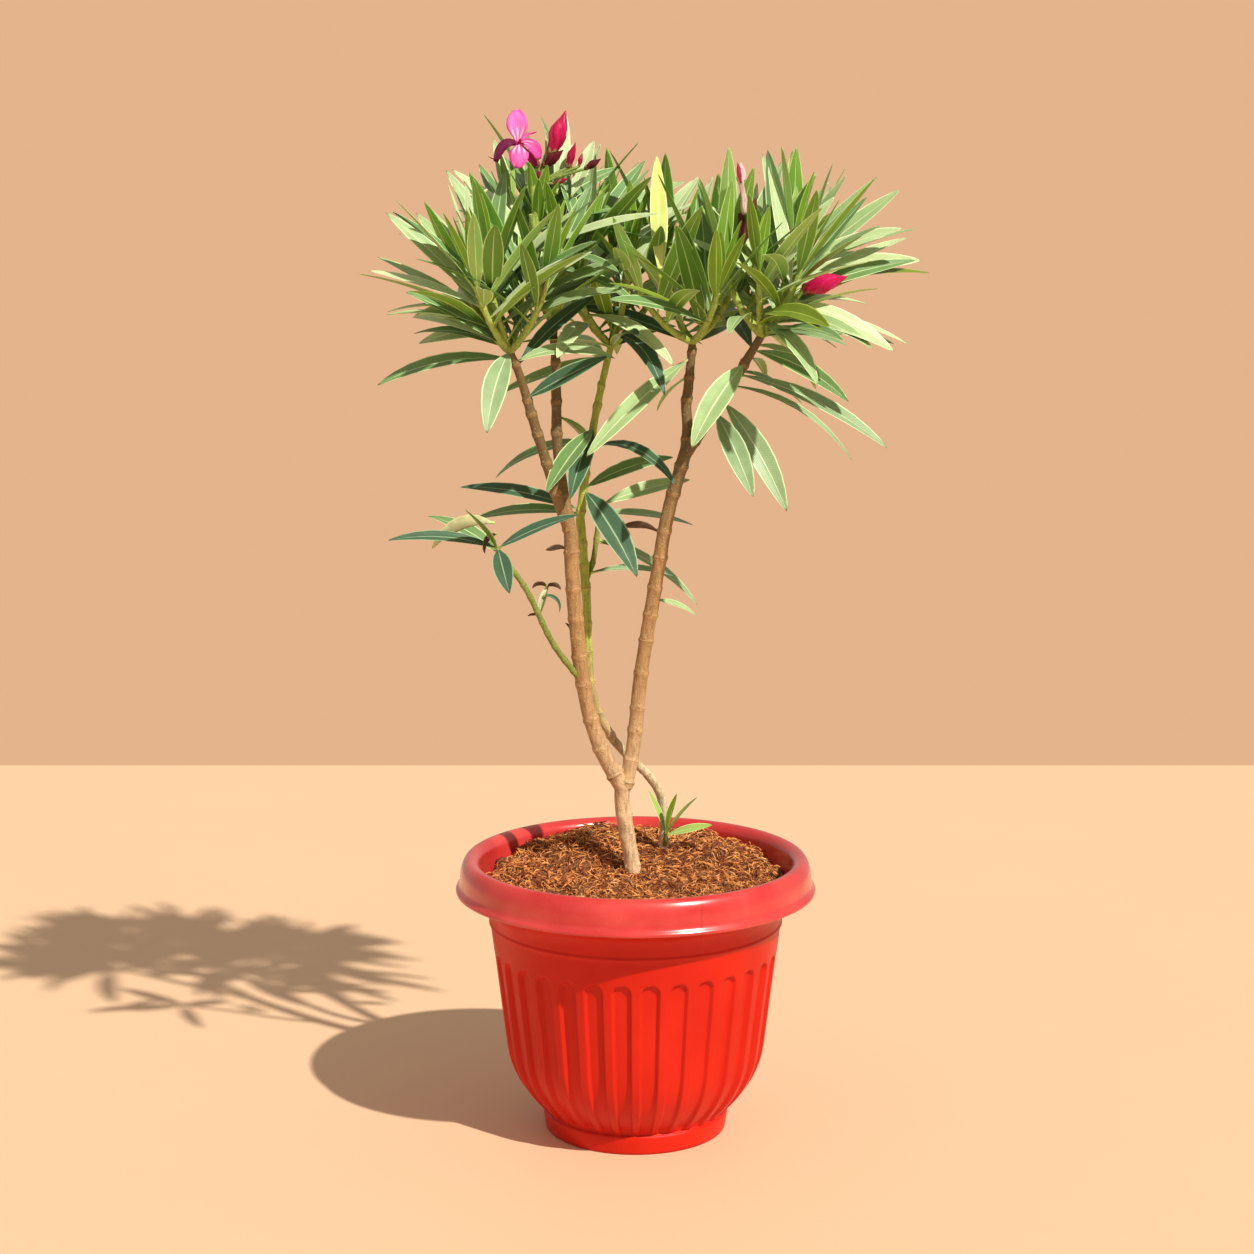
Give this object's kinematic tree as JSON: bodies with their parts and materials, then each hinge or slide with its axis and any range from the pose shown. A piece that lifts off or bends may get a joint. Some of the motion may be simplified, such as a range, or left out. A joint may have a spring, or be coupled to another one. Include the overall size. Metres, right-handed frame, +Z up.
{
  "type": "potted oleander",
  "caption": "Young flowering oleander: a short trunk forking into slender boughs with tufts of lance-shaped leaves, planted in peat in a round fluted planter with a rolled rim.",
  "frame": {"origin": "centre of the pot's flat round underside", "axes": "+Z up along the pot's axis, -Y towards the front, +X to the right as seen from the front"},
  "size_m": [0.4348, 0.301, 0.8443],
  "materials": {
    "pot": "smooth moulded plastic with a soft sheen",
    "soil": "loose ground coconut fibre",
    "bark": "thin rough bark with leaf-scar rings",
    "green_bark": "smooth young bark",
    "leaves": "leathery satin leaf"
  },
  "bodies": {
    "root": {"pot": "pot", "soil": "soil", "trunk": "bark", "bough_left": "bark", "bough_right": "bark", "stem_back_foot": "bark", "stem_back": "bark", "branch_left_outer": "bark", "branch_left_inner": "bark", "branch_right_inner": "bark", "branch_right_outer": "bark", "side_shoot": "green_bark", "low_twig": "green_bark", "foliage_left_outer": "leaves", "foliage_left_inner": "leaves", "foliage_middle": "leaves", "foliage_right_inner": "leaves", "foliage_right_outer": "leaves", "foliage_side": "leaves", "foliage_low": "leaves", "foliage_sprout": "leaves"}
  },
  "joints": []
}
